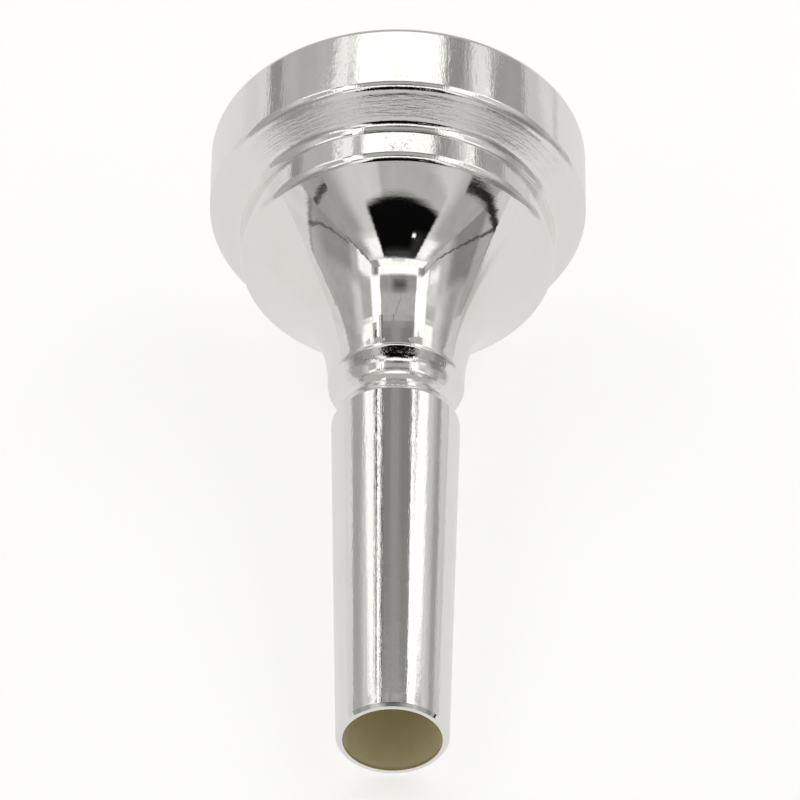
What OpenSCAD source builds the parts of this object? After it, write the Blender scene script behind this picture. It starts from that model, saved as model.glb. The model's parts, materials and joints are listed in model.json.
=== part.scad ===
// Brass-instrument mouthpiece, tuba size, in three screwed pieces:
// a tapered shank, a flared cup with a collar, and a screw-on rim.
//
// Frame: the mouthpiece lies on a flat surface, on the foot of its rim and on the edge of its tip.
// +Z is up, the tip points along -Y and the rim along +Y, and the origin is at the middle of the
// bounding box's base. Each piece is turned about the mouthpiece's own axis, so its outline is a list
// of [radius, distance from the tip] points, and every outline is worked out from the sizes below.
// Units: millimetres.

/* [Rim] */
// Diameter inside the rim, at the bite
rim_inner_d = 32.7; // [28:0.1:36]
// How far the rim stands out past the collar
shoulder_w = 4; // [3:0.1:5]
// Distance from the seat on the collar to the rim's straight wall
shoulder_l = 4.7; // [4:0.1:7]
// Radius of the hollow corner under the shoulder
shoulder_hollow_r = 1.7; // [0.8:0.1:2]
// Radius where the shoulder turns into the straight wall
rim_foot_r = 1.4; // [0.6:0.1:2]
// Length of the rim's straight outer wall
rim_wall_l = 8.3; // [6:0.1:12]
// Radius of the face's outer edge
face_edge_r = 1; // [0.5:0.1:1.6]
// Radius of the crown that the lips rest on
crown_r = 6; // [5:0.1:8]
// Radius of the bite, the face's inner edge
bite_r = 1.5; // [0.8:0.1:2]
// How much the rim's inside narrows, on the radius, from the bite down to the cup
inner_taper = 0.4; // [0:0.1:0.8]

/* [Cup] */
// Thickness of the cup's wall inside the thread for the rim
cup_wall = 2.25; // [1.8:0.05:3]
// Width of the collar's ledge, from the thread out to the collar's wall
collar_ledge = 1.2; // [0.9:0.1:2.5]
// Length of the collar's straight wall
collar_l = 3.3; // [2.5:0.1:6]
// Radius where the collar turns under
collar_turn_r = 1.6; // [0.8:0.1:2.4]
// Slope of the cup's underside at the collar, from the axis
underside_slope = 49; // [40:1:60]
// How far the underside stays nearly straight below the collar
underside_reach = 9; // [4:0.5:11]
// How far the neck stays nearly straight before it flares
neck_reach = 9; // [6:0.5:12]
// Length from the neck's edge to the collar's straight wall
flare_l = 20.9; // [17:0.1:30]
// Length of the cup's steep wall, from the collar's seat down into the bowl
cup_side_l = 1; // [0:0.1:3]
// Length of the throat's straight bore
throat_l = 3; // [1:0.1:4]

/* [Neck groove] */
// Depth of the groove between the cup and the shank, from the shank's top
groove_depth = 0.93; // [0.7:0.01:1.2]
// How far the neck stands out past the shank's top, on the radius
neck_step = 0.52; // [0.3:0.01:1.5]
// Radius of the neck's edge over the groove
neck_edge_r = 1; // [0.4:0.1:1.2]
// Radius of the groove's hollow on the cup's side
groove_cup_r = 3; // [2:0.1:3.6]
// Slope of the groove's side on the cup, from the axis
groove_cup_slope = 41; // [30:1:48]
// Slope of the groove's side on the shank, from the axis
groove_shank_slope = 30; // [22:1:38]
// Radius of the shank's top edge
shank_edge_r = 0.9; // [0.3:0.1:1.2]

/* [Shank] */
// Outer diameter of the tip
tip_d = 13.2; // [11:0.1:16]
// Length of the shank's taper
shank_l = 47.2; // [38:0.1:60]
// Length over which the taper grows by 1 mm in diameter
taper_ratio = 20; // [16:0.5:24]
// Thickness of the shank's wall at the tip
tip_wall = 0.8; // [0.5:0.1:1.5]
// Bevel on the tip's outer edge
tip_bevel = 0.3; // [0.1:0.05:0.5]
// Length of that bevel along the shank
tip_bevel_l = 0.45; // [0.1:0.05:0.8]

/* [Screw joints] */
// Thickness of the cup's wall around the shank's thread, at the bottom of the groove
socket_wall = 1.2; // [0.9:0.05:1.5]
// Thickness of the shank's wall inside its thread's relief
thread_core = 0.9; // [0.6:0.05:1.2]
// Step from the shank's bore down to the throat, on the radius
throat_step = 0.1; // [0:0.05:0.3]
// Length of the shank's thread
shank_thread_l = 7; // [5:0.1:9]
// Length of the cup's thread
rim_thread_l = 7.5; // [5:0.1:9]
// Clearance between a thread and its socket, on the radius
thread_gap = 0.05; // [0.02:0.01:0.1]
// Clearance past the end of a thread
thread_end_gap = 0.3; // [0.2:0.1:0.6]
// Width of the relief turned at the root of each thread
relief_w = 0.9; // [0.5:0.1:1.2]
// Depth of that relief
relief_depth = 0.5; // [0.3:0.1:0.6]
// Bevel at each thread's end and each socket's mouth
thread_bevel = 0.4; // [0.2:0.1:0.5]
// Bevel on each side of a seam between two pieces
seam_bevel = 0.12; // [0.05:0.01:0.2]

/* [Hidden] */
$fn = 96;
arc_steps = 10;
curve_steps = 24;

// Points on an arc. Angles are those of the outward normal: 0 points out from the axis, 90 to the rim.
// A convex arc curves round its centre and a hollow one curves round a centre outside the metal.
// An arc that goes on from another one starts at its own point 1.
function convex(centre, radius, from, to, first = 0) =
    [for (i = [first:arc_steps]) let (t = from + (to - from) * i / arc_steps)
        centre + radius * [cos(t), sin(t)]];
function hollow(centre, radius, from, to, first = 0) =
    [for (i = [first:arc_steps]) let (t = from + (to - from) * i / arc_steps)
        centre - radius * [cos(t), sin(t)]];
// Points inside a cubic curve from a to d, pulled towards b and c, without its two ends
function curve(a, b, c, d) =
    [for (i = [1:curve_steps - 1]) let (t = i / curve_steps, s = 1 - t)
        s * s * s * a + 3 * s * s * t * b + 3 * s * t * t * c + t * t * t * d];

// Shank: the taper, its rounded top edge, and the groove's lower side
tip_r = tip_d / 2;
shank_top_r = tip_r + shank_l / taper_ratio / 2;
taper_lean = atan(1 / taper_ratio / 2);
groove_r = shank_top_r - groove_depth;
shank_edge_centre = [shank_top_r, shank_l] - shank_edge_r * [cos(taper_lean), -sin(taper_lean)];
shank_edge_end = shank_edge_centre + shank_edge_r * [cos(groove_shank_slope), sin(groove_shank_slope)];
groove_shank_r = (shank_edge_end[0] - groove_r) / (1 - cos(groove_shank_slope));
groove_shank_centre = shank_edge_end
    + groove_shank_r * [cos(groove_shank_slope), sin(groove_shank_slope)];
// The shank and the cup seat on each other at the bottom of the groove
join_a = groove_shank_centre[1] + seam_bevel;
shank_thread_r = groove_r - socket_wall - thread_gap;
shank_thread_top = join_a + shank_thread_l;
backbore_top_r = shank_thread_r - relief_depth - thread_core;

// Neck: the groove's upper side and the neck's edge
groove_cup_centre = [groove_r + groove_cup_r, join_a + seam_bevel];
groove_cup_end = groove_cup_centre
    - groove_cup_r * [cos(groove_cup_slope), -sin(groove_cup_slope)];
neck_r = shank_top_r + neck_step;
neck_edge_start_r = neck_r - neck_edge_r * (1 - cos(groove_cup_slope));
neck_edge_a = groove_cup_end[1] + (neck_edge_start_r - groove_cup_end[0]) / tan(groove_cup_slope)
    + neck_edge_r * sin(groove_cup_slope);

// Cup: the flare, the collar, and the thread that carries the rim
rim_inner_r = rim_inner_d / 2;
cup_mouth_r = rim_inner_r - inner_taper;
rim_thread_r = cup_mouth_r + cup_wall;
collar_r = rim_thread_r + collar_ledge;
collar_foot_a = neck_edge_a + flare_l;
collar_turn_centre = [collar_r - collar_turn_r, collar_foot_a];
underside_top = collar_turn_centre
    + collar_turn_r * [cos(underside_slope), -sin(underside_slope)];
flare_start_pull = [neck_r, neck_edge_a + neck_reach];
flare_end_pull = underside_top - underside_reach * [sin(underside_slope), cos(underside_slope)];
seat_a = collar_foot_a + collar_l;
rim_thread_top = seat_a + rim_thread_l;

// Inside of the cup: the socket for the shank, the throat, and the bowl up to the mouth
socket_top = shank_thread_top + thread_end_gap;
throat_r = backbore_top_r - throat_step;
throat_top = socket_top + throat_l;
bowl_top = [cup_mouth_r, seat_a - cup_side_l];
bowl_depth = bowl_top[1] - throat_top;
throat_pull = [throat_r, throat_top + bowl_depth * 0.27];
bowl_pull = [cup_mouth_r, bowl_top[1] - bowl_depth * 0.52];

// Rim: the shoulder is the straight line that touches both its hollow corner and the wall's foot
rim_r = collar_r + shoulder_w;
hollow_centre = [collar_r + shoulder_hollow_r, seat_a + seam_bevel];
foot_centre = [rim_r - rim_foot_r, seat_a + shoulder_l];
centres = foot_centre - hollow_centre;
shoulder_turn = 90 - (acos((shoulder_hollow_r + rim_foot_r) / norm(centres))
    - atan2(centres[0], centres[1]));
wall_top = seat_a + shoulder_l + rim_wall_l;
edge_centre = [rim_r - face_edge_r, wall_top];
// The crown's arc starts where the face's outer edge has turned this far, and ends at the bite
face_turn = 60;
crown_start = edge_centre + face_edge_r * [cos(face_turn), sin(face_turn)];
crown_centre = crown_start - crown_r * [cos(face_turn), sin(face_turn)];
bite_turn = 90 + asin((crown_centre[0] - rim_inner_r - bite_r) / (crown_r - bite_r));
bite_centre = crown_centre + (crown_r - bite_r) * [cos(bite_turn), sin(bite_turn)];
rim_socket_top = rim_thread_top + thread_end_gap;

shank_outline = concat(
    [[tip_r - tip_wall, 0], [tip_r - tip_bevel, 0], [tip_r + tip_bevel_l / taper_ratio / 2, tip_bevel_l]],
    convex(shank_edge_centre, shank_edge_r, -taper_lean, groove_shank_slope),
    hollow(groove_shank_centre, groove_shank_r, groove_shank_slope, 0, first = 1),
    [[groove_r - seam_bevel, join_a]],
    threaded_end(shank_thread_r, join_a, shank_thread_top),
    [[backbore_top_r, shank_thread_top]]);

cup_outline = concat(
    socket_mouth(shank_thread_r, join_a),
    [[groove_r - seam_bevel, join_a]],
    hollow(groove_cup_centre, groove_cup_r, 0, -groove_cup_slope),
    convex([neck_r - neck_edge_r, neck_edge_a], neck_edge_r, -groove_cup_slope, 0),
    curve([neck_r, neck_edge_a], flare_start_pull, flare_end_pull, underside_top),
    convex(collar_turn_centre, collar_turn_r, -underside_slope, 0),
    [[collar_r, seat_a - seam_bevel], [collar_r - seam_bevel, seat_a]],
    threaded_end(rim_thread_r, seat_a, rim_thread_top),
    [[cup_mouth_r, rim_thread_top], bowl_top],
    curve(bowl_top, bowl_pull, throat_pull, [throat_r, throat_top]),
    [[throat_r, throat_top], [throat_r, socket_top], [shank_thread_r + thread_gap, socket_top]]);

rim_outline = concat(
    socket_mouth(rim_thread_r, seat_a),
    [[collar_r - seam_bevel, seat_a]],
    hollow(hollow_centre, shoulder_hollow_r, 0, -shoulder_turn),
    convex(foot_centre, rim_foot_r, -shoulder_turn, 0),
    convex(edge_centre, face_edge_r, 0, face_turn),
    convex(crown_centre, crown_r, face_turn, bite_turn, first = 1),
    convex(bite_centre, bite_r, bite_turn, 180, first = 1),
    [[cup_mouth_r, rim_socket_top], [rim_thread_r + thread_gap, rim_socket_top]]);

// The root relief and the bevelled end of a thread, from its seat outwards
function threaded_end(radius, seat, top) = [
    [radius - relief_depth, seat], [radius - relief_depth, seat + relief_w],
    [radius, seat + relief_w + relief_depth],
    [radius, top - thread_bevel], [radius - thread_bevel, top]];
// The bevelled mouth of the socket for a thread, out to the seat
function socket_mouth(radius, seat) = [
    [radius + thread_gap, seat + thread_bevel], [radius + thread_gap + thread_bevel, seat]];

// How it lies: it touches the surface at the tip's edge and at the foot of the rim
whole = concat(shank_outline, cup_outline, rim_outline);
tip_touch = [tip_r + tip_bevel_l / taper_ratio / 2, tip_bevel_l];
lie = atan(max([for (p = whole) if (p[1] > shank_l) (p[0] - tip_touch[0]) / (p[1] - tip_touch[1])]));
lift = tip_touch[0] * cos(lie) - tip_touch[1] * sin(lie);
front = min([for (p = whole) p[1] * cos(lie) - p[0] * sin(lie)]);
back = max([for (p = whole) p[1] * cos(lie) + p[0] * sin(lie)]);

module as_it_lies() {
    translate([0, -(front + back) / 2, lift]) rotate([lie - 90, 0, 0]) children();
}

module turned(outline) {
    as_it_lies() rotate_extrude() polygon(outline);
}

// Tapered shank with the backbore inside it and the thread that goes up into the cup
module shank() {
    color("gainsboro") turned(shank_outline);
}

// Cup: groove, flared neck, collar and the thread for the rim, with the throat and the bowl inside
module cup() {
    color("silver") turned(cup_outline);
}

// Rim: shoulder, straight wall and rounded face, with the socket for the cup's thread
module rim() {
    color("lightgray") turned(rim_outline);
}

shank();
cup();
rim();
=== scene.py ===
# %% [markdown]
# # A tuba mouthpiece in three screwed pieces
# A tuba mouthpiece is turned from brass bar on a lathe, screwed together from a shank, a cup and a rim,
# and plated with silver. Nearly all of what the eye sees on it is a reflection: the metal itself has hardly
# any colour. So this scene spends its effort on two things, surfaces that are truly smooth, and a studio
# that is worth reflecting.
#
# The pieces come from a CAD frame. Their outlines are read back from it, so no size is typed twice.

import json
import math

import bpy
import numpy as np
from mathutils import Matrix, Vector


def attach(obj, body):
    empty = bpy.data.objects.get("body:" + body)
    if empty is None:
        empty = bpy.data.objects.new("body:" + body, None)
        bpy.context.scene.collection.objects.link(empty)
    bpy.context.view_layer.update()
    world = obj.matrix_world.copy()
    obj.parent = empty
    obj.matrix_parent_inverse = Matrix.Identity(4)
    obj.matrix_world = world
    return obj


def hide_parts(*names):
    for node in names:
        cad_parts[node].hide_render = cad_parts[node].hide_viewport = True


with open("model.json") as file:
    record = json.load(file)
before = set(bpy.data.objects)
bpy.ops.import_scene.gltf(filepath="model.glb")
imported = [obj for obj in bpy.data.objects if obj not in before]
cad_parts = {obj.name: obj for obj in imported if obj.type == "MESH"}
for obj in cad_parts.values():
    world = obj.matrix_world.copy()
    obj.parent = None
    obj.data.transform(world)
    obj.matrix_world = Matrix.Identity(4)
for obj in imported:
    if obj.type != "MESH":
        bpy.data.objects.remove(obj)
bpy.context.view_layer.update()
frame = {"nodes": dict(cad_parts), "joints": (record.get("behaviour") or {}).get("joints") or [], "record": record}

# %% [markdown]
# ## The turning axis
# Everything on a lathe is round about one axis. The frame knows it: the rim comes off along it, and the
# taper's mount sits on it, in the middle of the tip. With the axis and one point on it, any place on the
# mouthpiece is a distance along the axis, a radius and an angle.

# %% Find the axis
axis = Vector(frame["joints"][0]["axis"]).normalized()
tip = Vector(next(m["pos_m"] for m in frame["record"]["mounts"] if m["name"] == "shank_taper"))
sideways = Vector((1, 0, 0))
lathe_to_row = Matrix((sideways, axis.cross(sideways), axis)).transposed().to_4x4()
lathe_to_row.translation = tip
lie = math.asin(axis.z)
print("the axis climbs", round(math.degrees(lie), 2), "degrees from tip to rim")

# %% [markdown]
# ## Reading the outlines
# A turned piece is one closed outline spun about the axis. The CAD mesh is made of triangles, and each of
# its corners lies on one ring of the outline, so corners that share a radius and a distance along the axis
# are one outline point. Triangle sides that join two rings tell which points are neighbours.

# %% Outline of a CAD node
same_ring = 6e-6


def outline_of(node):
    mesh = frame["nodes"][node].data
    places = np.array([v.co for v in mesh.vertices]) - np.array(tip)
    along = places @ np.array(axis)
    radius = np.linalg.norm(places - np.outer(along, np.array(axis)), axis=1)
    flat = np.column_stack([radius, along])
    rough, back = np.unique(np.round(flat, 6), axis=0, return_inverse=True)
    rings, ring_of = [], []
    for place in rough:
        near = [k for k, ring in enumerate(rings) if np.abs(ring - place).max() < same_ring]
        if not near:
            rings.append(place)
        ring_of.append(near[0] if near else len(rings) - 1)
    ring = np.array(ring_of)[back.reshape(-1)]
    beside = {k: set() for k in range(len(rings))}
    for face in mesh.polygons:
        corners = [ring[v] for v in face.vertices]
        for a, b in zip(corners, corners[1:] + corners[:1]):
            if a != b:
                beside[a].add(b)
                beside[b].add(a)
    start = min(beside, key=lambda k: (rings[k][1], rings[k][0]))
    path = [start]
    step = max(beside[start], key=lambda k: rings[k][0])
    while step != start:
        path.append(step)
        step = next(k for k in beside[step] if k != path[-2])
    return np.array([rings[k] for k in path])


outlines = {node: outline_of(node) for node in frame["nodes"]}
for node, points in outlines.items():
    print(node, "has", len(points), "outline points, radius up to", round(points[:, 0].max() * 1000, 2), "mm")

# %% [markdown]
# ## Making the outline smooth
# The CAD outline is a chain of short straight lines. A mirror shows each of them as a band, so the chain is
# drawn again as a smooth curve through the same points. Three kinds of place need their own treatment.
# A real edge gets a tiny rounding, because no turned edge is perfectly sharp and the rounding is what
# catches the light. A long straight wall stays exactly straight. Everything else is a curve, and is drawn
# as one with the direction at each point taken from its two neighbours.

# %% Smooth outline
edge_round = 0.00005  # metres
sharp_turn = 14  # degrees, more than this is a real edge
long_side = 2.4  # times its neighbours, longer than this is a straight wall
finest_bend = 1.6  # degrees between two drawn points
longest_step = 0.0008
wall_guard = 0.00004  # an extra point this close to each end keeps a wall's shading flat


def unit(way):
    return way / max(np.linalg.norm(way), 1e-12)


def turn_between(a, b):
    return math.degrees(math.acos(float(np.clip(unit(a) @ unit(b), -1, 1))))


def smooth_outline(points):
    n = len(points)
    ways = [points[(k + 1) % n] - points[k] for k in range(n)]
    sizes = [np.linalg.norm(way) for way in ways]
    turns = [turn_between(ways[k - 1], ways[k]) for k in range(n)]
    corner = [turn > sharp_turn for turn in turns]
    straight = [
        (corner[k] or sizes[k] > long_side * sizes[k - 1])
        and (corner[(k + 1) % n] or sizes[k] > long_side * sizes[(k + 1) % n])
        for k in range(n)
    ]

    def heading(k):
        if straight[k - 1]:
            return unit(ways[k - 1])
        return unit(ways[k]) if straight[k] else unit(points[(k + 1) % n] - points[k - 1])

    def edge_cut(k):
        """How far from corner k its rounding starts."""
        if not corner[k]:
            return 0.0
        return min(edge_round * math.tan(math.radians(turns[k]) / 2), 0.3 * sizes[k - 1], 0.3 * sizes[k])

    made = []
    for k in range(n):
        j = (k + 1) % n
        way = unit(ways[k])
        cut = [edge_cut(k), edge_cut(j)]
        start, end = points[k] + way * cut[0], points[j] - way * cut[1]
        leave = way if corner[k] else heading(k)
        arrive = way if corner[j] else heading(j)
        length = np.linalg.norm(end - start)
        bend = turn_between(leave, way) + turn_between(way, arrive)
        steps = max(math.ceil(bend / finest_bend), math.ceil(length / longest_step), 1)
        shares = np.linspace(0, 1, steps + 1)
        if length > 0.0003:
            close = wall_guard / length
            shares = np.unique(np.concatenate([shares, [close, 1 - close]]))
        for t in shares[: None if corner[j] else -1]:
            curve = (2 * t**3 - 3 * t**2 + 1, t**3 - 2 * t**2 + t, 3 * t**2 - 2 * t**3, t**3 - t**2)
            made.append(
                curve[0] * start + curve[1] * length * leave + curve[2] * end + curve[3] * length * arrive
            )
        if corner[j]:
            far = points[j] + unit(ways[j]) * cut[1]
            for t in (0.25, 0.5, 0.75):
                made.append((1 - t) ** 2 * end + 2 * t * (1 - t) * points[j] + t**2 * far)
    return np.array(made)


# %% [markdown]
# ## Where the threads are
# The shank screws into the cup and the cup into the rim. In the frame a thread is a plain cylinder, one of
# each pair 0.05 mm smaller than the other. The real screw has a helical groove of about a millimetre's
# pitch, so the outline is given enough points along those cylinders for the groove, and each point carries
# a number that says which way the groove is cut: inwards on the male half, outwards in the socket.

# %% Mark the threads and the bare brass
pitch = 0.001
thread_depth = 0.00042
thread_spacing = pitch / 9
on_cylinder = 0.00002
# Each thread: its radius, which way its groove is cut, and where it starts and ends along the axis.
screws = {"shank": (0.0056, -1, 0.0515, 0.0572), "cup": (0.0182, -1, 0.0794, 0.0852)}
sockets = {"cup": (0.00565, 1, 0.0515, 0.0578), "rim": (0.01825, 1, 0.0794, 0.0858)}
# What lies inside this radius on the shank, its bore and its thread, shows bare brass, but for the two ends.
bare_radius = 0.00595
bare_margin = 0.0004


def close_to(points, radius):
    return np.abs(points[:, 0] - radius) < on_cylinder


def with_thread_points(points, radius):
    made = []
    for here, there in zip(points, np.roll(points, -1, axis=0)):
        made.append(here)
        both = abs(here[0] - radius) < on_cylinder and abs(there[0] - radius) < on_cylinder
        steps = math.ceil(abs(there[1] - here[1]) / thread_spacing)
        if both and steps > 1:
            made.extend(here + (there - here) * k / steps for k in range(1, steps))
    return np.array(made)


def marked_outline(node):
    points = smooth_outline(outlines[node])
    cuts = [kind[node] for kind in (screws, sockets) if node in kind]
    for radius, *_ in cuts:
        points = with_thread_points(points, radius)
    groove = np.zeros(len(points))
    for radius, way, start, end in cuts:
        fade = np.clip(np.minimum(points[:, 1] - start, end - points[:, 1]) / (0.7 * pitch), 0, 1)
        groove += way * fade * close_to(points, radius)
    along = points[:, 1]
    bare = (points[:, 0] < bare_radius) & (along > bare_margin) & (along < along.max() - bare_margin)
    return points, groove, bare.astype(float) * (node == "shank")


marked = {node: marked_outline(node) for node in frame["nodes"]}
for node, (points, groove, bare) in marked.items():
    print(node, "is drawn with", len(points), "points,", int((groove != 0).sum()), "of them on threads")

# %% [markdown]
# ## One way to write node maths
# Materials and Geometry Nodes are both built from small sums. A socket wrapped in this class adds a Math
# node whenever Python adds, multiplies or compares it, so the sums below read as sums. Every other kind of
# node comes from the one method `add`.

# %% The wire class
class Wire:
    """A node's output. Sums with it add the nodes that work them out."""

    def __init__(self, tree, socket=None):
        self.tree, self.socket = tree, socket

    def add(self, kind, settings=None, sockets=None, out=0):
        node = self.tree.nodes.new(kind)
        for name, value in (settings or {}).items():
            setattr(node, name, value)
        for name, value in (sockets or {}).items():
            self.plug(node.inputs[name], value)
        return Wire(self.tree, node.outputs[out] if node.outputs else None)

    def plug(self, slot, value):
        if isinstance(value, Wire):
            self.tree.links.new(value.socket, slot)
        else:
            slot.default_value = value

    def sum(self, operation, *values):
        return self.add("ShaderNodeMath", {"operation": operation}, dict(enumerate(values)))

    def __add__(self, other):
        return self.sum("ADD", self, other)

    __radd__ = __add__

    def __sub__(self, other):
        return self.sum("SUBTRACT", self, other)

    def __rsub__(self, other):
        return self.sum("SUBTRACT", other, self)

    def __mul__(self, other):
        return self.sum("MULTIPLY", self, other)

    __rmul__ = __mul__

    def __truediv__(self, other):
        return self.sum("DIVIDE", self, other)

    def __pow__(self, other):
        return self.sum("POWER", self, other)

    def __mod__(self, other):
        return self.sum("FLOORED_MODULO", self, other)

    def __abs__(self):
        return self.sum("ABSOLUTE", self)

    def least(self, other):
        return self.sum("MINIMUM", self, other)

    def most(self, other):
        return self.sum("MAXIMUM", self, other)

    def rise(self, start, end, low=0.0, high=1.0):
        """From low at start to high at end, with soft shoulders."""
        sockets = {"Value": self, "From Min": start, "From Max": end, "To Min": low, "To Max": high}
        return self.add("ShaderNodeMapRange", {"interpolation_type": "SMOOTHSTEP"}, sockets)

    def blend(self, other, share):
        """This wire where share is 0, the other where it is 1."""
        return self + (other - self) * share

    def output(self, name):
        return Wire(self.tree, self.socket.node.outputs[name])


def mixed(wire, first, second, share):
    """The first colour where share is 0, the second where it is 1."""
    factor, colour_a, colour_b, colour_out = 0, 6, 7, 2
    colours = {factor: share, colour_a: first, colour_b: second}
    return wire.add("ShaderNodeMix", {"data_type": "RGBA"}, colours, colour_out)


# %% [markdown]
# ## Turning the pieces
# A lathe makes every section the same, so one tree makes all three pieces: a grid is laid round the axis,
# each of its points looks up its outline point, and is swung to its angle. On a thread the radius also goes
# up and down with the distance along the axis, and the wave is carried along by one pitch for each turn,
# which is all that a screw is. The tree ends by laying the piece down as it lies on the table.

# %% The lathe
sides = 168
merge_distance = 5e-7


def lathe_tree():
    tree = bpy.data.node_groups.new("turned_piece", "GeometryNodeTree")
    face = tree.interface
    face.new_socket("Geometry", in_out="OUTPUT", socket_type="NodeSocketGeometry")
    face.new_socket("Outline", in_out="INPUT", socket_type="NodeSocketGeometry")
    for name, kind, value in (
        ("Sides", "NodeSocketInt", sides),
        ("Pitch", "NodeSocketFloat", pitch),
        ("Thread depth", "NodeSocketFloat", thread_depth),
        ("Place", "NodeSocketVector", (0, 0, 0)),
        ("Turn", "NodeSocketVector", (0, 0, 0)),
        ("Finish", "NodeSocketMaterial", None),
    ):
        socket = face.new_socket(name, in_out="INPUT", socket_type=kind)
        if value is not None:
            socket.default_value = value
    wire = Wire(tree)
    given = wire.add("NodeGroupInput")
    outline, around = given.output("Outline"), given.output("Sides")
    count = wire.add("GeometryNodeAttributeDomainSize", sockets={"Geometry": outline})
    down = count + 1
    grid = wire.add("GeometryNodeMeshGrid", sockets={"Vertices X": around + 1, "Vertices Y": down})
    index = wire.add("GeometryNodeInputIndex")
    column = (index / down).sum("FLOOR", index / down + 0.0001)
    row = (index % down) % count

    def looked_up(name, kind):
        source = (
            wire.add("GeometryNodeInputPosition")
            if kind == "FLOAT_VECTOR"
            else wire.add("GeometryNodeInputNamedAttribute", {"data_type": kind}, {"Name": name})
        )
        found = {"Geometry": outline, "Value": source, "Index": row}
        return wire.add("GeometryNodeSampleIndex", {"data_type": kind}, found)

    place = wire.add("ShaderNodeSeparateXYZ", sockets={"Vector": looked_up("position", "FLOAT_VECTOR")})
    radius, along = place.output("X"), place.output("Z")
    share = (column % around) / around
    wave = abs(((along / given.output("Pitch") + share) % 1.0) * 2.0 - 1.0)
    radius = radius + looked_up("groove", "FLOAT") * given.output("Thread depth") * wave
    angle = share * math.tau
    spot = wire.add(
        "ShaderNodeCombineXYZ",
        sockets={"X": radius * wire.sum("COSINE", angle), "Y": radius * wire.sum("SINE", angle), "Z": along},
    )
    marked_grid = wire.add(
        "GeometryNodeStoreNamedAttribute",
        {"data_type": "FLOAT"},
        {"Geometry": grid, "Name": "bare", "Value": looked_up("bare", "FLOAT")},
    )
    body = wire.add("GeometryNodeSetPosition", sockets={"Geometry": marked_grid, "Position": spot})
    body = wire.add("GeometryNodeMergeByDistance", sockets={"Geometry": body, "Distance": merge_distance})
    body = wire.add(
        "GeometryNodeTransform",
        sockets={"Geometry": body, "Translation": given.output("Place"), "Rotation": given.output("Turn")},
    )
    body = wire.add("GeometryNodeSetShadeSmooth", sockets={"Geometry": body})
    body = wire.add("GeometryNodeRealizeInstances", sockets={"Geometry": body})
    body = wire.add("GeometryNodeSetMaterial", sockets={"Geometry": body, "Material": given.output("Finish")})
    wire.add("NodeGroupOutput", sockets={"Geometry": body})
    return tree


lathe = lathe_tree()


def turn_piece(node, finish):
    points, groove, bare = marked[node]
    mesh = bpy.data.meshes.new(f"{node}_outline")
    mesh.from_pydata([(r, 0, a) for r, a in points], [], [])
    for name, values in (("groove", groove), ("bare", bare)):
        mesh.attributes.new(name, "FLOAT", "POINT").data.foreach_set("value", values)
    blank = bpy.data.objects.new(f"{node}_blank", mesh)
    bpy.context.scene.collection.objects.link(blank)
    tool = blank.modifiers.new("lathe", "NODES")
    tool.node_group = lathe
    sizes = {
        "Place": tuple(tip),
        "Turn": tuple(lathe_to_row.to_euler()),
        "Finish": finish,
    }
    for item in lathe.interface.items_tree:
        if item.name in sizes:
            tool[item.identifier] = sizes[item.name]
    ready = blank.evaluated_get(bpy.context.evaluated_depsgraph_get())
    made = bpy.data.meshes.new_from_object(ready)
    made.name = f"turned_{node}"
    bpy.data.objects.remove(blank)
    piece = bpy.data.objects.new(f"turned_{node}", made)
    bpy.context.scene.collection.objects.link(piece)
    return piece


def volume_of(mesh):
    """The volume of a closed piece. It is positive when its faces point outwards."""
    mesh.calc_loop_triangles()
    corners = np.array([v.co for v in mesh.vertices])
    a, b, c = (corners[[t.vertices[k] for t in mesh.loop_triangles]] for k in range(3))
    return float(np.einsum("ij,ij->i", a, np.cross(b, c)).sum() / 6)


# %% [markdown]
# ## The silver
# Silver plate over turned brass. The metal sends back nearly nine tenths of the light, very slightly warm.
# What makes it look like plate and not like a computer's mirror is small: the lathe leaves fine rings that
# run round the piece, the polishing wheel leaves fainter streaks along it, handling leaves hairline
# scratches, and a thin haze of tarnish stays where a cloth doesn't reach. All of these are far shallower
# than they look, hundredths of a millimetre or less, and only tilt the reflections a little. The rings are
# strongest on the shoulder of the rim, which is left satin.
#
# The bore of the shank and its thread aren't plated. There the brass shows, dull and brownish green.

# %% Silver plate
plate_colour = (0.90, 0.892, 0.872, 1)
tarnish_colour = (0.74, 0.70, 0.62, 1)
brass_colour = (0.80, 0.745, 0.53, 1)
stained_brass = (0.75, 0.68, 0.46, 1)
bump_height = 0.0000045
satin_start, satin_end, satin_radius, satin_fade = 0.0796, 0.0818, 0.0188, 0.0004
bowl_start, bowl_top, bowl_foot_fade, bowl_top_fade = 0.0540, 0.0745, 0.0012, 0.0010


def lathe_places(wire):
    """Where a point is on the lathe: two ways across the axis, the way along it, and the radius."""
    spot = wire.add("ShaderNodeTexCoord", out=3)
    spot = wire.add(
        "ShaderNodeMapping",
        {"vector_type": "TEXTURE"},
        {"Vector": spot, "Location": tuple(tip), "Rotation": tuple(lathe_to_row.to_euler())},
    )
    parts = wire.add("ShaderNodeSeparateXYZ", sockets={"Vector": spot})
    x, y, along = parts, parts.output("Y"), parts.output("Z")
    radius = (x * x + y * y) ** 0.5
    return x, y, along, radius


def noise(wire, x, y, z, detail=2.0, rough=0.5):
    """Noise whose spots are one unit wide in the numbers that x, y and z are given in."""
    vector = wire.add("ShaderNodeCombineXYZ", sockets={0: x, 1: y, 2: z})
    sockets = {"Vector": vector, "Scale": 1.0, "Detail": detail, "Roughness": rough}
    return wire.add("ShaderNodeTexNoise", sockets=sockets)


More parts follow.
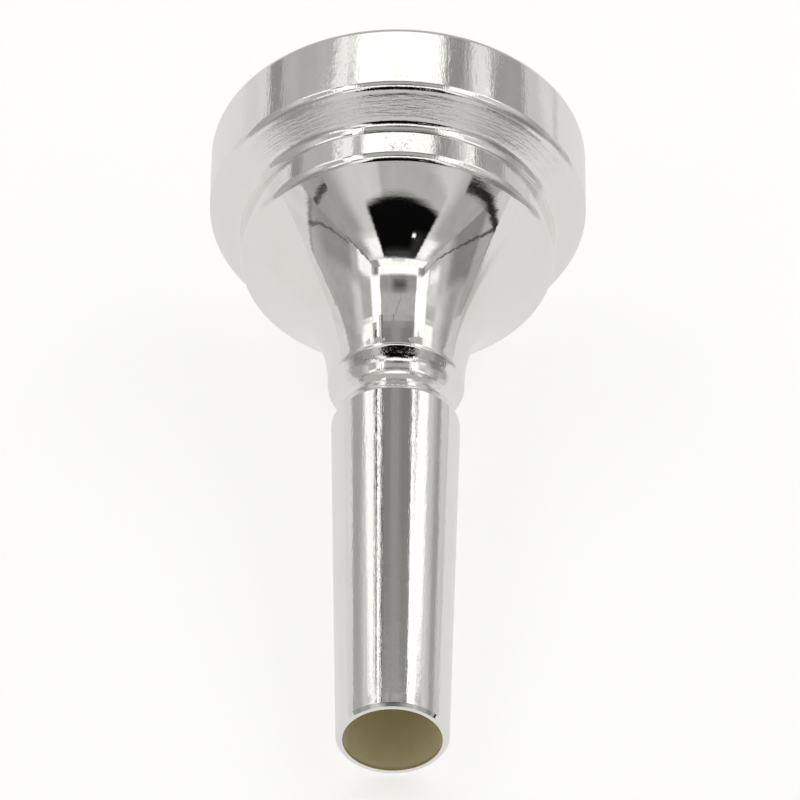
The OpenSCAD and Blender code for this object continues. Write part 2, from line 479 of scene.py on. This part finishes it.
def silver_plate():
    material = bpy.data.materials.new("silver_plate")
    material.use_nodes = True
    tree = material.node_tree
    tree.nodes.clear()
    wire = Wire(tree)
    x, y, along, radius = lathe_places(wire)
    bare = wire.add("ShaderNodeAttribute", {"attribute_name": "bare"}, out=2)
    round_x, round_y = x / radius, y / radius
    shoulder = along.rise(satin_start, satin_start + satin_fade)
    shoulder = shoulder * along.rise(satin_end - satin_fade, satin_end, 1.0, 0.0)
    shoulder = shoulder * radius.rise(satin_radius, satin_radius + satin_fade)
    bowl = along.rise(bowl_start, bowl_start + bowl_foot_fade)
    bowl = bowl * along.rise(bowl_top - bowl_top_fade, bowl_top, 1.0, 0.0)
    busy = (1.0 - bowl * 0.88) * along.rise(0.0006, 0.002)
    down = radius * 1.3 + along
    rings = noise(wire, down * 2300, round_x * 7, round_y * 7, 3.0, 0.65)
    wide_rings = noise(wire, radius * 700, along * 700, round_y * 0.5, 1.0)
    streaks = noise(wire, round_x * 20, round_y * 20, along * 18, 2.0, 0.6)
    grain = noise(wire, x * 2300, y * 2300, along * 520, 3.0, 0.65)
    cloud = noise(wire, x * 90, y * 90, along * 90, 4.0, 0.6)
    patchy = cloud.rise(0.35, 0.62, 0.35, 1.0)
    hair = noise(wire, x * 900, y * 900, along * 160, 2.0, 0.8)
    scratch = abs(hair - 0.5).rise(0.0, 0.010, 1.0, 0.0) * cloud.rise(0.48, 0.6)
    pits = noise(wire, x * 2600, y * 2600, along * 2000, 2.0).rise(0.62, 0.72)
    height = rings * (shoulder * 15 + 0.12) + wide_rings * (shoulder * 0.9 + 0.2)
    height = height + (streaks * 1.8 + grain * patchy * 4.2 - scratch * 0.25 - pits * 0.3) * busy
    bump = wire.add("ShaderNodeBump", sockets={"Strength": 1.0, "Distance": bump_height, "Height": height})
    haze = cloud.rise(0.5, 0.78)
    colour = mixed(wire, plate_colour, tarnish_colour, haze * 0.22)
    pores = noise(wire, x * 1500, y * 1500, along * 1500, 3.0)
    stain = noise(wire, x * 260, y * 260, along * 120, 3.0)
    brass = mixed(wire, brass_colour, stained_brass, stain.rise(0.4, 0.7))
    colour = mixed(wire, colour, brass, bare)
    gloss = 0.03 + haze * 0.03 + shoulder * 0.13
    shader = wire.add(
        "ShaderNodeBsdfPrincipled",
        sockets={
            "Base Color": colour,
            "Metallic": 1.0 - bare * 0.55,
            "Roughness": gloss.blend(0.5 + pores * 0.2, bare),
            "Normal": bump,
        },
    )
    wire.add("ShaderNodeOutputMaterial", sockets={"Surface": shader})
    return material


silver = silver_plate()

# %% Turn, dress and place the three pieces
body_of_node = {node: body for body, nodes in frame["record"]["behaviour"]["bodies"].items() for node in nodes}
turned = {}
for node in frame["nodes"]:
    piece = turn_piece(node, silver)
    volume = volume_of(piece.data)
    if volume < 0:
        piece.data.flip_normals()
    turned[node] = piece
    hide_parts(node)
    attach(piece, body_of_node[node])
    triangles, brass = len(piece.data.loop_triangles), round(abs(volume) * 1e9)
    print(node, "has", triangles, "triangles and", brass, "cubic mm of brass")

# %% [markdown]
# ## The light tent
# Polished metal is lit by what it can see. It stands in a cube of white cloth half a metre wide, lit from
# outside, with an opening in front for the lens. The cloth burns out white where the lamps stand behind it,
# at the top of both side walls and round the opening, and is grey where they don't. Each wall is one sheet
# that glows, brighter or duller by place. Its numbers are how bright a wall looks in the silver, on a scale
# where 255 is white. They were set patch by patch, to suit the main camera's view, so another
# studio's tent would have other numbers. The camera doesn't see the tent itself.

# %% Brightness of the cloth
silver_sends_back = 0.885
cloth_colour = (1.0, 0.992, 0.972)
crease_size = 45
cream_edge = (-7, 5)


def glow(level):
    """How strongly cloth must shine to look like this level after silver has reflected it."""
    share = level / 255
    light = share / 12.92 if share < 0.04045 else ((share + 0.055) / 1.055) ** 2.4
    return light / silver_sends_back


def inside(value, start, end, soft):
    """1 between start and end, fading over soft at both."""
    mask = None
    if start is not None:
        mask = value.rise(start - soft / 2, start + soft / 2)
    if end is not None:
        falling = value.rise(end - soft / 2, end + soft / 2, 1.0, 0.0)
        mask = falling if mask is None else mask * falling
    return mask


def cloth(name, level, patches, seams=(), across=0, up=2, cream=(), crease_depth=0.36):
    """Cloth of one level, with what lies on it, in millimetres.

    A patch is (x range, y range, z range, softness, level), a seam is (start, end, width, level), and cream
    is (start, end, level) for all that lies below a slanting edge.
    """
    material = bpy.data.materials.new(name)
    material.use_nodes = True
    material.node_tree.nodes.clear()
    wire = Wire(material.node_tree)
    spot = wire.add("ShaderNodeSeparateXYZ", sockets={"Vector": wire.add("ShaderNodeTexCoord", out=3)})
    places = [spot * 1000, spot.output("Y") * 1000, spot.output("Z") * 1000]
    creases = noise(wire, *(place / crease_size for place in places), 3.0)
    shine = creases * 0 + glow(level)
    for *ranges, soft, patch_level in patches:
        mask = None
        for place, span in zip(places, ranges):
            if span:
                one = inside(place, *span, soft)
                mask = one if mask is None else mask * one
        shine = shine.blend(glow(patch_level), mask)
    for (start, start_up), (end, end_up), cream_level in cream:
        edge = (places[across] - start) * ((end_up - start_up) / (end - start)) + start_up
        shine = shine.blend(glow(cream_level), (places[up] - edge).rise(*cream_edge, 1.0, 0.0))
    for (start, start_up), (end, end_up), width, seam_level in seams:
        run, climb = end - start, end_up - start_up
        beside, above = places[across] - start, places[up] - start_up
        share = ((beside * run + above * climb) / (run**2 + climb**2)).least(1).most(0)
        away = ((beside - share * run) ** 2 + (above - share * climb) ** 2) ** 0.5
        shine = shine.blend(glow(seam_level), away.rise(width * 0.2, width * 0.8, 1.0, 0.0))
    shine = shine * (creases * crease_depth + (1 - crease_depth / 2))
    colour = wire.add("ShaderNodeVectorMath", {"operation": "SCALE"}, {"Vector": cloth_colour, "Scale": shine})
    lamp = wire.add("ShaderNodeEmission", sockets={"Color": colour, "Strength": 1.0})
    wire.add("ShaderNodeOutputMaterial", sockets={"Surface": lamp})
    return material


# %% Hang the sheets
tent_low, tent_high = (-230, -175, 0), (256, 270, 450)
white = 275
any_place = None

ceiling = cloth("tent_ceiling", white, [
    ((-168, 203), (-120, None), any_place, 10, 168),
    ((-168, 203), (150, None), any_place, 90, 124),
    ((-50, 50), (150, None), any_place, 70, 143),
    ((-168, 203), (-125, -25), any_place, 45, 146),
    ((-40, 98), (-98, -30), any_place, 80, 76),
    ((None, -180), (None, -120), any_place, 45, 125),
    ((215, None), (None, -118), any_place, 45, 150),
], seams=[
    ((-80, 185), (-10, 95), 9, 132),
    ((-10, 95), (45, 10), 9, 142),
    ((-160, 120), (-160, 270), 24, 108),
    ((-188, 130), (-188, 270), 9, 110),
], up=1)
left_wall = cloth("tent_left", 168, [
    (any_place, (-115, 215), (372, None), 44, 266),
    (any_place, (None, -85), (236, 400), 45, 246),
    (any_place, (122, None), (205, 368), 39, 250),
    (any_place, (-30, 150), (172, 238), 54, 200),
    (any_place, (None, -60), (55, 185), 44, 140),
    (any_place, (-60, None), (55, 150), 54, 160),
    (any_place, (158, None), (364, None), 24, 168),
    (any_place, (214, None), (395, None), 20, 88),
    (any_place, (216, None), (100, 300), 20, 172),
    (any_place, (205, None), (70, 135), 16, 142),
], seams=[
    ((-175, 60), (-118, 38), 6, 128),
    ((-118, 38), (-60, 20), 5, 150),
    ((-60, 20), (60, 46), 5, 158),
    ((-118, 38), (-141, 70), 6, 95),
    ((-141, 70), (-152, 110), 7, 92),
    ((-152, 110), (-163, 175), 8, 112),
], across=1, cream=[((-70, 19), (180, 80), 206), ((-175, 56), (-60, 17), 206)])
right_wall = cloth("tent_right", 180, [
    (any_place, (-118, 235), (322, None), 24, 266),
    (any_place, (-105, -35), (215, 310), 45, 240),
    (any_place, (-35, 60), (215, 330), 45, 206),
    (any_place, (20, None), (150, 212), 54, 200),
    (any_place, (142, None), (208, 335), 39, 256),
    (any_place, (None, -5), (20, 150), 60, 130),
    (any_place, (-5, None), (62, 118), 54, 154),
    (any_place, (None, -112), (392, None), 20, 134),
    (any_place, (None, 105), (None, 40), 18, 164),
    (any_place, (105, None), (None, 50), 18, 194),
    (any_place, (236, None), (60, 240), 20, 152),
], seams=[
    ((-108, 0), (-128, 110), 8, 80),
    ((-128, 110), (-146, 250), 8, 96),
    ((-146, 250), (-120, 450), 7, 140),
    ((-100, -4), (-140, 22), 10, 48),
    ((-140, 22), (-176, 44), 11, 40),
    ((-100, 4), (100, 4), 5, 150),
], across=1, cream=[((90, 4), (215, 84), 196), ((-175, 46), (-108, 0), 196)])
front_wall = cloth("tent_front", 196, [
    (any_place, any_place, (352, None), 20, 252),
    ((-36, 62), any_place, (345, 392), 24, 214),
    ((None, -152), any_place, (352, None), 24, 148),
    ((-165, -75), any_place, (218, 335), 54, 246),
    ((120, 215), any_place, (215, 335), 54, 248),
    ((None, -172), any_place, (None, 300), 60, 148),
    ((None, -135), any_place, (None, 190), 50, 152),
    ((222, None), any_place, (None, 300), 60, 162),
    ((150, None), any_place, (None, 200), 50, 160),
    ((-40, 130), any_place, (118, 150), 12, 170),
    ((-89, 133), any_place, (147, 340), 14, 8),
    ((-78, 122), any_place, (300, 352), 60, 60),
    ((80, 124), any_place, (215, 330), 51, 44),
    ((67, 81), any_place, (216, 233), 8, 262),
], seams=[
    ((-230, 68), (-172, 88), 7, 70),
    ((-228, 165), (-214, 335), 11, 112),
    ((170, 86), (256, 43), 12, 36),
])
back_wall = cloth("tent_back", 172, [
    ((-150, 150), any_place, (360, None), 24, 262),
    ((None, -150), any_place, (328, 368), 20, 238),
    ((160, 208), any_place, (300, 388), 24, 142),
    ((214, None), any_place, (240, 305), 24, 226),
    (any_place, any_place, (None, 80), 60, 208),
])
# Painted reflection: this sheet under the table glows with the cream that the lit table shows in the silver,
# duller towards its +x edge. The table is no lamp.
tent_floor = cloth("tent_floor", 214, [
    ((122, None), (-10, 132), any_place, 46, 184),
    ((165, None), (130, None), any_place, 60, 190),
    ((215, None), (-40, 60), any_place, 60, 160),
], up=1, crease_depth=0.04)


def sheet(name, corners, finish):
    mesh = bpy.data.meshes.new(name)
    mesh.from_pydata([tuple(c / 1000 for c in corner) for corner in corners], [], [(0, 1, 2, 3)])
    mesh.materials.append(finish)
    hung = bpy.data.objects.new(name, mesh)
    bpy.context.scene.collection.objects.link(hung)
    return hung


(x0, y0, z0), (x1, y1, z1) = tent_low, tent_high
for name, finish, corners in (
    ("ceiling", ceiling, ((x0, y0, z1), (x0, y1, z1), (x1, y1, z1), (x1, y0, z1))),
    ("left", left_wall, ((x0, y0, z0), (x0, y1, z0), (x0, y1, z1), (x0, y0, z1))),
    ("right", right_wall, ((x1, y0, z0), (x1, y0, z1), (x1, y1, z1), (x1, y1, z0))),
    ("front", front_wall, ((x0, y0, z0), (x0, y0, z1), (x1, y0, z1), (x1, y0, z0))),
    ("back", back_wall, ((x0, y1, z0), (x1, y1, z0), (x1, y1, z1), (x0, y1, z1))),
    ("floor", tent_floor, ((x0, y0, -1), (x0, y1, -1), (x1, y1, -1), (x1, y0, -1))),
):
    sheet(f"tent_{name}", corners, finish).visible_camera = False
print("the tent is", x1 - x0, "by", y1 - y0, "by", z1 - z0, "mm")

# %% [markdown]
# ## The table
# Pale card, a little warm, with the faint tooth that paper has. It glows by itself, at about half of full white,
# so that it comes out almost white: painted light, since card gives off none. The silver doesn't see it. A sheet
# just below it, the tent's floor, glows instead with the cream underside: a painted reflection of the table.

# %% Table and surroundings
def self_lit_table_card():
    material = bpy.data.materials.new("self_lit_table_card")
    material.use_nodes = True
    material.node_tree.nodes.clear()
    wire = Wire(material.node_tree)
    spot = wire.add("ShaderNodeTexCoord", out=3)
    tooth = wire.add("ShaderNodeTexNoise", sockets={"Vector": spot, "Scale": 900.0, "Detail": 3.0})
    colour = mixed(wire, (0.80, 0.797, 0.785, 1), (0.83, 0.827, 0.815, 1), tooth)
    shader = wire.add(
        "ShaderNodeBsdfPrincipled",
        sockets={
            "Base Color": colour,
            "Roughness": 0.9,
            # Painted light: the card glows at about half of full white, though it is no lamp.
            "Emission Color": (1.0, 0.998, 0.99, 1),
            "Emission Strength": 0.53,
        },
    )
    wire.add("ShaderNodeOutputMaterial", sockets={"Surface": shader})
    return material


reach = 3000
table_corners = ((-reach, -reach, 0), (reach, -reach, 0), (reach, reach, 0), (-reach, reach, 0))
table = sheet("table", table_corners, self_lit_table_card())
table.visible_glossy = False
world = bpy.data.worlds.new("studio")
world.use_nodes = True
background = world.node_tree.nodes["Background"]
background.inputs["Color"].default_value = (0.93, 0.93, 0.92, 1)
background.inputs["Strength"].default_value = 0.9
bpy.context.scene.world = world
bpy.context.scene.view_settings.view_transform = "Standard"

# %% [markdown]
# ## The camera
# A long lens from in front and above, looking down at 38 degrees with the tip towards it.

# %% Camera
from_tip = Vector((0.0048, -0.52840, 0.45713))
tilt, swing = 52.36, 0.4262  # degrees up from looking straight down, and to the left
lens = bpy.data.cameras.new("camera")
lens.lens, lens.sensor_width = 271.917, 36
lens.clip_start, lens.clip_end = 0.01, 20
camera = bpy.data.objects.new("camera", lens)
camera.location = tip + from_tip
camera.rotation_euler = (math.radians(tilt), 0, math.radians(swing))
bpy.context.scene.collection.objects.link(camera)
bpy.context.scene.camera = camera
